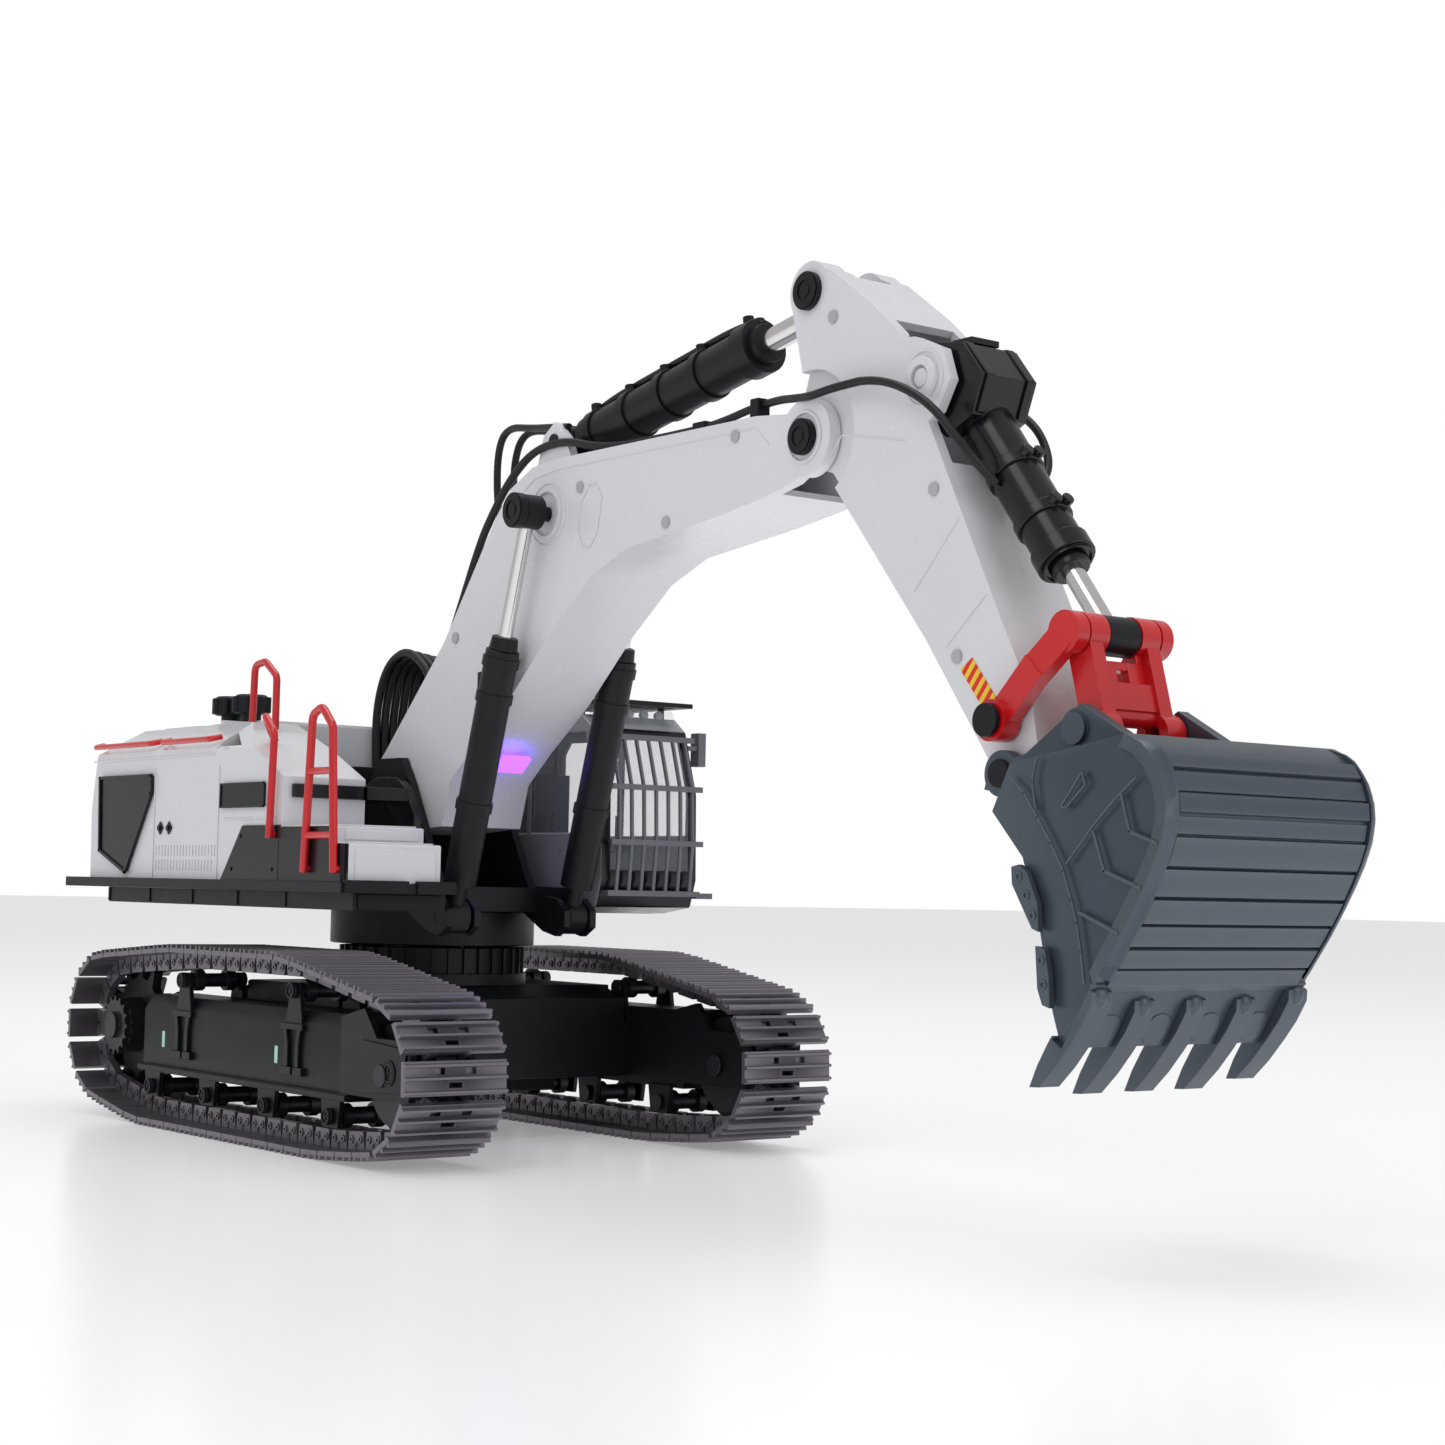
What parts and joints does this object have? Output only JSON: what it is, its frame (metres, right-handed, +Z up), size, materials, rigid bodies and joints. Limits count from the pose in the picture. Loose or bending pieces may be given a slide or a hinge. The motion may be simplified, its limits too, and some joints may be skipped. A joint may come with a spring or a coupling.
{
  "type": "rc excavator",
  "caption": "Radio-control tracked excavator with turning upper works, lifting boom, swinging arm and curling bucket on twin tracks.",
  "frame": {"origin": "on the ground plane, on the slew axis, midway between the tracks", "axes": "+X forward along the boom, +Y to the cab side (the machine's left), +Z up"},
  "size_m": [0.664, 0.205, 0.3336],
  "materials": {
    "white_plastic": "satin gloss moulding",
    "black_plastic": "fine satin moulding",
    "guard_grey": "metallic grey moulding",
    "red_paint": "gloss paint",
    "track_metal": "dark anodised, worn at the ridges",
    "roller_metal": "dark anodised",
    "gear_steel": "machined",
    "pin_black": "blackened",
    "rod_chrome": "polished",
    "bucket_metal": "blue-grey metallic paint",
    "clear_plastic": "clear moulding",
    "hose_rubber": "matt",
    "battery_wrap": "shrink wrap",
    "board_green": "coated"
  },
  "bodies": {
    "undercarriage": {"carbody_frame": "black_plastic", "track_frame_left": "black_plastic", "track_frame_right": "black_plastic", "slew_ring": "gear_steel", "track_chain_left": "track_metal", "track_chain_right": "track_metal", "travel_motors": "gear_steel"},
    "upper": {"turntable_drum": "black_plastic", "deck_frame": "black_plastic", "engine_housing": "white_plastic", "housing_grilles": "black_plastic", "step_boxes": "white_plastic", "equipment_boxes": "black_plastic", "handrails": "red_paint", "intake_caps": "black_plastic", "slew_motor": "gear_steel", "battery_pack": "battery_wrap", "counterweight": "gear_steel", "control_board": "board_green", "cab_shell": "white_plastic", "cab_windows": "clear_plastic", "cab_guard": "guard_grey", "cab_visor": "black_plastic", "cab_interior": "black_plastic", "cable_loom": "hose_rubber"},
    "slew_pinion": {"slew_pinion": "gear_steel"},
    "boom": {"boom_shell_left": "white_plastic", "boom_shell_right": "white_plastic", "boom_pins": "pin_black", "boom_hoses": "hose_rubber"},
    "arm": {"arm_shell_left": "white_plastic", "arm_shell_right": "white_plastic", "arm_pins": "pin_black", "arm_hoses": "hose_rubber"},
    "boom_barrels": {"boom_cylinders": "black_plastic"},
    "boom_rods": {"boom_rods": "rod_chrome"},
    "arm_barrel": {"arm_cylinder": "black_plastic"},
    "arm_rod": {"arm_rod": "rod_chrome"},
    "bucket_barrel": {"bucket_cylinder": "black_plastic"},
    "bucket_rod": {"bucket_rod": "rod_chrome"},
    "rocker": {"rocker_links": "red_paint"},
    "bucket_link": {"bucket_link": "red_paint"},
    "bucket": {"bucket": "bucket_metal", "bucket_teeth": "bucket_metal"},
    "sprocket_left": {"sprocket_left": "roller_metal"},
    "idler_left": {"idler_left": "roller_metal"},
    "carrier_roller_left_rear": {"carrier_roller_left_rear": "roller_metal"},
    "carrier_roller_left_front": {"carrier_roller_left_front": "roller_metal"},
    "track_roller_left_1": {"track_roller_left_1": "roller_metal"},
    "track_roller_left_2": {"track_roller_left_2": "roller_metal"},
    "track_roller_left_3": {"track_roller_left_3": "roller_metal"},
    "track_roller_left_4": {"track_roller_left_4": "roller_metal"},
    "sprocket_right": {"sprocket_right": "roller_metal"},
    "idler_right": {"idler_right": "roller_metal"},
    "carrier_roller_right_rear": {"carrier_roller_right_rear": "roller_metal"},
    "carrier_roller_right_front": {"carrier_roller_right_front": "roller_metal"},
    "track_roller_right_1": {"track_roller_right_1": "roller_metal"},
    "track_roller_right_2": {"track_roller_right_2": "roller_metal"},
    "track_roller_right_3": {"track_roller_right_3": "roller_metal"},
    "track_roller_right_4": {"track_roller_right_4": "roller_metal"}
  },
  "joints": [
    {"name": "slew", "type": "hinge", "parent": "undercarriage", "child": "upper", "pos_m": [0, 0, 0.075], "axis": [0, 0, 1], "continuous": true},
    {"name": "slew_pinion_spin", "type": "hinge", "parent": "upper", "child": "slew_pinion", "pos_m": [-0.02475, 0, 0.076], "axis": [0, 0, 1], "continuous": true},
    {"name": "boom_lift", "type": "hinge", "parent": "upper", "child": "boom", "pos_m": [0, 0, 0.15], "axis": [0, -1, 0], "range_deg": [-24, 18], "deforming": ["cable_loom"]},
    {"name": "boom_cylinder_swing", "type": "hinge", "parent": "upper", "child": "boom_barrels", "pos_m": [0.065, 0, 0.095], "axis": [0, -1, 0], "range_deg": [-20.24, 15.3]},
    {"name": "boom_rod_swing", "type": "hinge", "parent": "boom", "child": "boom_rods", "pos_m": [0.1144, 0, 0.2593], "axis": [0, -1, 0], "range_deg": [-3.7, 4.76]},
    {"name": "arm_swing", "type": "hinge", "parent": "boom", "child": "arm", "pos_m": [0.2785, 0, 0.2695], "axis": [0, -1, 0], "range_deg": [-30, 30], "deforming": ["boom_hoses"]},
    {"name": "arm_cylinder_swing", "type": "hinge", "parent": "boom", "child": "arm_barrel", "pos_m": [0.108, 0, 0.291], "axis": [0, -1, 0], "range_deg": [-1.94, 1.94]},
    {"name": "arm_rod_slide", "type": "slide", "parent": "arm_barrel", "child": "arm_rod", "axis": [0.983, 0, 0.1835], "range_m": [-0.0275, 0.0275]},
    {"name": "bucket_curl", "type": "hinge", "parent": "arm", "child": "bucket", "pos_m": [0.385, 0, 0.147], "axis": [0, -1, 0], "range_deg": [-45, 22]},
    {"name": "rocker_swing", "type": "hinge", "parent": "arm", "child": "rocker", "pos_m": [0.382, 0, 0.164], "axis": [0, -1, 0], "range_deg": [-38.46, 19.06]},
    {"name": "bucket_link_swing", "type": "hinge", "parent": "rocker", "child": "bucket_link", "pos_m": [0.4095, 0, 0.191], "axis": [0, -1, 0], "range_deg": [-9.11, 18.11]},
    {"name": "bucket_cylinder_swing", "type": "hinge", "parent": "arm", "child": "bucket_barrel", "pos_m": [0.339, 0, 0.282], "axis": [0, -1, 0], "range_deg": [-1.9, 1.19], "deforming": ["arm_hoses"]},
    {"name": "bucket_rod_swing", "type": "hinge", "parent": "rocker", "child": "bucket_rod", "pos_m": [0.4095, 0, 0.191], "axis": [0, -1, 0], "range_deg": [-19.26, 38.86]},
    {"name": "sprocket_left_spin", "type": "hinge", "parent": "undercarriage", "child": "sprocket_left", "pos_m": [-0.1225, 0.08, 0.041], "axis": [0, 1, 0], "continuous": true},
    {"name": "idler_left_spin", "type": "hinge", "parent": "undercarriage", "child": "idler_left", "pos_m": [0.123, 0.08, 0.035], "axis": [0, 1, 0], "continuous": true},
    {"name": "carrier_roller_left_rear_spin", "type": "hinge", "parent": "undercarriage", "child": "carrier_roller_left_rear", "pos_m": [-0.0518, 0.08, 0.0642], "axis": [0, 1, 0], "continuous": true},
    {"name": "carrier_roller_left_front_spin", "type": "hinge", "parent": "undercarriage", "child": "carrier_roller_left_front", "pos_m": [0.0492, 0.08, 0.0642], "axis": [0, 1, 0], "continuous": true},
    {"name": "track_roller_left_1_spin", "type": "hinge", "parent": "undercarriage", "child": "track_roller_left_1", "pos_m": [-0.0812, 0.08, 0.0163], "axis": [0, 1, 0], "continuous": true},
    {"name": "track_roller_left_2_spin", "type": "hinge", "parent": "undercarriage", "child": "track_roller_left_2", "pos_m": [-0.027, 0.08, 0.0163], "axis": [0, 1, 0], "continuous": true},
    {"name": "track_roller_left_3_spin", "type": "hinge", "parent": "undercarriage", "child": "track_roller_left_3", "pos_m": [0.0272, 0.08, 0.0163], "axis": [0, 1, 0], "continuous": true},
    {"name": "track_roller_left_4_spin", "type": "hinge", "parent": "undercarriage", "child": "track_roller_left_4", "pos_m": [0.0814, 0.08, 0.0163], "axis": [0, 1, 0], "continuous": true},
    {"name": "sprocket_right_spin", "type": "hinge", "parent": "undercarriage", "child": "sprocket_right", "pos_m": [-0.1225, -0.08, 0.041], "axis": [0, 1, 0], "continuous": true},
    {"name": "idler_right_spin", "type": "hinge", "parent": "undercarriage", "child": "idler_right", "pos_m": [0.123, -0.08, 0.035], "axis": [0, 1, 0], "continuous": true},
    {"name": "carrier_roller_right_rear_spin", "type": "hinge", "parent": "undercarriage", "child": "carrier_roller_right_rear", "pos_m": [-0.0518, -0.08, 0.0642], "axis": [0, 1, 0], "continuous": true},
    {"name": "carrier_roller_right_front_spin", "type": "hinge", "parent": "undercarriage", "child": "carrier_roller_right_front", "pos_m": [0.0492, -0.08, 0.0642], "axis": [0, 1, 0], "continuous": true},
    {"name": "track_roller_right_1_spin", "type": "hinge", "parent": "undercarriage", "child": "track_roller_right_1", "pos_m": [-0.0812, -0.08, 0.0163], "axis": [0, 1, 0], "continuous": true},
    {"name": "track_roller_right_2_spin", "type": "hinge", "parent": "undercarriage", "child": "track_roller_right_2", "pos_m": [-0.027, -0.08, 0.0163], "axis": [0, 1, 0], "continuous": true},
    {"name": "track_roller_right_3_spin", "type": "hinge", "parent": "undercarriage", "child": "track_roller_right_3", "pos_m": [0.0272, -0.08, 0.0163], "axis": [0, 1, 0], "continuous": true},
    {"name": "track_roller_right_4_spin", "type": "hinge", "parent": "undercarriage", "child": "track_roller_right_4", "pos_m": [0.0814, -0.08, 0.0163], "axis": [0, 1, 0], "continuous": true}
  ],
  "couplings": [
    {"joint": "slew_pinion_spin", "follows": "slew", "ratio": -4},
    {"joint": "boom_cylinder_swing", "follows": "boom_lift", "ratio": 0.8224},
    {"joint": "boom_rod_swing", "follows": "boom_lift", "ratio": -0.1776},
    {"joint": "arm_cylinder_swing", "follows": "arm_swing", "ratio": 0.0481},
    {"joint": "arm_rod_slide", "follows": "arm_swing", "m_per_rad": -0.050691},
    {"joint": "rocker_swing", "follows": "bucket_curl", "ratio": 0.8436},
    {"joint": "bucket_link_swing", "follows": "bucket_curl", "ratio": -0.3914},
    {"joint": "bucket_cylinder_swing", "follows": "bucket_curl", "ratio": 0.0312},
    {"joint": "bucket_rod_swing", "follows": "bucket_curl", "ratio": -0.8525},
    {"joint": "idler_left_spin", "follows": "sprocket_left_spin", "ratio": 1.082},
    {"joint": "carrier_roller_left_rear_spin", "follows": "sprocket_left_spin", "ratio": 5.8804},
    {"joint": "carrier_roller_left_front_spin", "follows": "sprocket_left_spin", "ratio": 5.8804},
    {"joint": "track_roller_left_1_spin", "follows": "sprocket_left_spin", "ratio": 5.41},
    {"joint": "track_roller_left_2_spin", "follows": "sprocket_left_spin", "ratio": 5.41},
    {"joint": "track_roller_left_3_spin", "follows": "sprocket_left_spin", "ratio": 5.41},
    {"joint": "track_roller_left_4_spin", "follows": "sprocket_left_spin", "ratio": 5.41},
    {"joint": "idler_right_spin", "follows": "sprocket_right_spin", "ratio": 1.082},
    {"joint": "carrier_roller_right_rear_spin", "follows": "sprocket_right_spin", "ratio": 5.8804},
    {"joint": "carrier_roller_right_front_spin", "follows": "sprocket_right_spin", "ratio": 5.8804},
    {"joint": "track_roller_right_1_spin", "follows": "sprocket_right_spin", "ratio": 5.41},
    {"joint": "track_roller_right_2_spin", "follows": "sprocket_right_spin", "ratio": 5.41},
    {"joint": "track_roller_right_3_spin", "follows": "sprocket_right_spin", "ratio": 5.41},
    {"joint": "track_roller_right_4_spin", "follows": "sprocket_right_spin", "ratio": 5.41}
  ]
}
